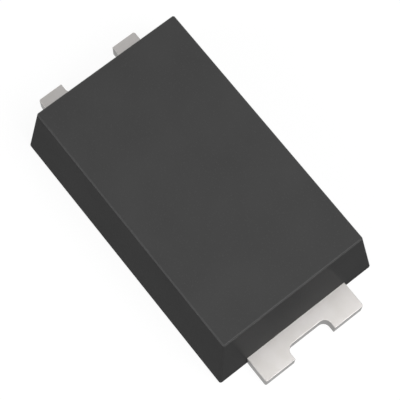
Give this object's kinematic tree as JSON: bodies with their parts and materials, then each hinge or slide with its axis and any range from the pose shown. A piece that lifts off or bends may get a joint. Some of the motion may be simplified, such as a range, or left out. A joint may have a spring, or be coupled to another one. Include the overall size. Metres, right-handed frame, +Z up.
{
  "type": "surface-mount diode",
  "caption": "Flat surface-mount diode: a dark drafted moulded block on a wide notched cathode tab and a forked anode lead, both flush with the board, with die and clip inside.",
  "frame": {"origin": "on the seating plane, midway between the ends of the two terminals", "axes": "+X along the body towards the notched cathode tab, +Z up from the board, +Y across the body"},
  "size_m": [0.004, 0.002, 0.0011],
  "materials": {
    "mould_compound": "silica-filled epoxy with a fine matte mould texture",
    "matte_tin": "matte tin plating on stamped copper",
    "silicon": "sawn silicon with metallised faces",
    "copper": "bare stamped copper",
    "solder": "reflowed solder"
  },
  "bodies": {
    "root": {"molded_body": "mould_compound", "cathode_pad": "matte_tin", "anode_terminal": "matte_tin", "die": "silicon", "clip": "copper", "die_solder": "solder", "clip_solder": "solder", "foot_solder": "solder"}
  },
  "joints": []
}
